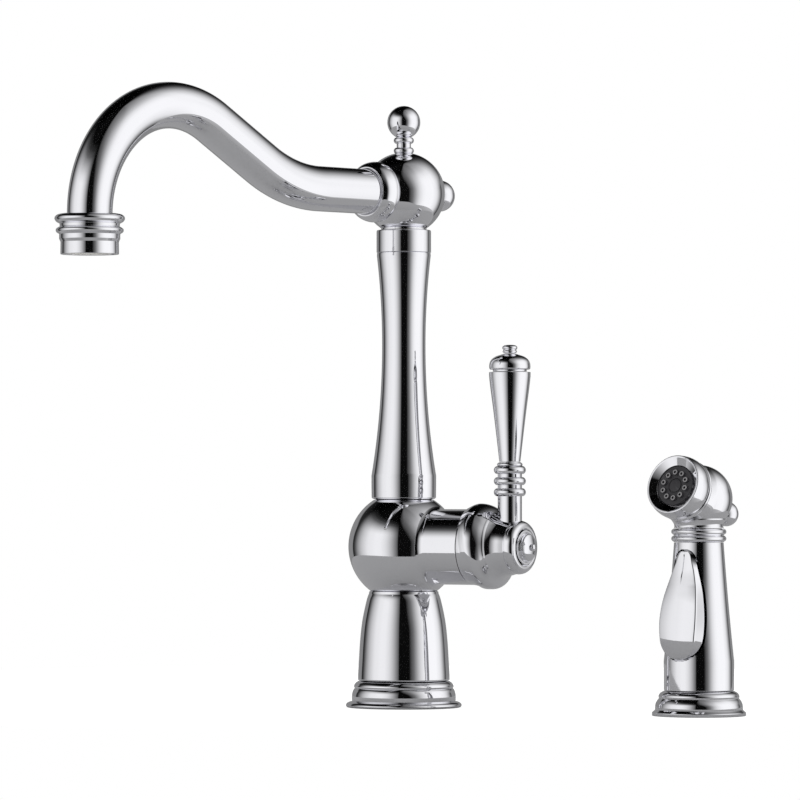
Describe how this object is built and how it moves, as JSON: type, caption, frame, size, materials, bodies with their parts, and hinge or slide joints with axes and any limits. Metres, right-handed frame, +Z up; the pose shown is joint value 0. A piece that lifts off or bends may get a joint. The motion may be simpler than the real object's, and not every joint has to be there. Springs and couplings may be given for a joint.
{
  "type": "kitchen faucet with side spray",
  "caption": "Deck-mounted kitchen faucet with a curved swivel spout on a waisted column, a side lever on a ball valve body and a separate side spray in a holder.",
  "frame": {"origin": "on the deck, on the axis of the faucet's column", "axes": "+Z up; +X along the handle's barrel, towards the side spray; -Y towards the user"},
  "size_m": [0.2991, 0.3135, 0.3658],
  "materials": {
    "chrome": "polished chrome plating",
    "brass": "machined brass",
    "copper": "drawn copper tube",
    "steel": "stainless steel",
    "rubber": "black rubber",
    "nylon": "natural white nylon",
    "grey_plastic": "grey moulded plastic",
    "ceramic": "lapped alumina ceramic"
  },
  "bodies": {
    "main": {"escutcheon": "chrome", "base_gasket": "rubber", "base_plate": "brass", "base_bell": "chrome", "hot_supply_tube": "copper", "cold_supply_tube": "copper", "spray_supply_tube": "copper", "valve_body": "chrome", "cartridge_seal": "rubber", "cartridge_housing": "grey_plastic", "fixed_ceramic_disc": "ceramic", "cartridge_nut": "brass", "bonnet": "chrome", "column": "chrome", "cap_band": "chrome", "riser_tube": "copper", "swivel_post": "brass", "lower_o_ring": "rubber", "upper_o_ring": "rubber", "swivel_washer": "nylon", "spray_holder": "chrome", "holder_bush": "nylon"},
    "spout": {"spout_hub": "chrome", "spout_collar": "chrome", "spout_tube": "chrome", "hub_finial": "chrome", "hub_back_ball": "chrome", "outlet_shell": "chrome", "aerator_washer": "rubber", "aerator_insert": "nylon"},
    "spindle": {"moving_ceramic_disc": "ceramic", "valve_spindle": "brass", "tilt_pin": "steel"},
    "lever": {"lever_root": "brass", "handle_hub": "chrome", "handle_screw": "steel", "handle_cap": "chrome", "lever_stem": "chrome", "lever_rod": "steel", "lever_grip": "chrome", "lever_dome": "chrome", "lever_button": "chrome"},
    "diverter": {"diverter_spool": "nylon"},
    "hose_end": {"hose_connector": "brass", "hose_o_ring": "rubber"},
    "spray": {"spray_body": "chrome", "spray_water_tube": "nylon", "spray_collar": "chrome", "spray_head": "chrome", "spray_bezel": "chrome", "spray_face": "rubber", "spray_back_ball": "chrome", "trigger_pin": "steel", "plunger_seal": "rubber", "trigger_spring": "steel"},
    "trigger": {"spray_trigger": "chrome"},
    "plunger": {"valve_plunger": "brass"}
  },
  "joints": [
    {"name": "spout_swivel", "type": "hinge", "parent": "main", "child": "spout", "pos_m": [0, 0, 0.3094], "axis": [0, 0, 1], "range_deg": [-79, 101]},
    {"name": "temperature_turn", "type": "hinge", "parent": "main", "child": "spindle", "pos_m": [0, 0, 0.09672], "axis": [1, 0, 0], "range_deg": [-45, 45]},
    {"name": "flow_tilt", "type": "hinge", "parent": "spindle", "child": "lever", "pos_m": [0.0565, 0, 0.09672], "axis": [0, 1, 0], "range_deg": [0, 23]},
    {"name": "diverter_lift", "type": "slide", "parent": "main", "child": "diverter", "axis": [0, 0, 1], "range_m": [0, 0.003]},
    {"name": "spray_lift", "type": "slide", "parent": "main", "child": "hose_end", "axis": [0, 0, 1], "range_m": [0, 0.15]},
    {"name": "spray_turn", "type": "hinge", "parent": "hose_end", "child": "spray", "pos_m": [0.2032, 0, 0.01], "axis": [0, 0, 1], "continuous": true},
    {"name": "trigger_press", "type": "hinge", "parent": "spray", "child": "trigger", "pos_m": [0.20228, -0.01046, 0.091], "axis": [0.9962, -0.0872, 0], "range_deg": [0, 7], "stiffness_Nm_per_rad": 1.5, "springref_deg": -5.73, "deforming": ["trigger_spring"]},
    {"name": "plunger_slide", "type": "slide", "parent": "spray", "child": "plunger", "axis": [0.0872, 0.9962, 0], "range_m": [0, 0.00196]}
  ],
  "couplings": [
    {"joint": "plunger_slide", "follows": "trigger_press", "m_per_rad": 0.016}
  ]
}
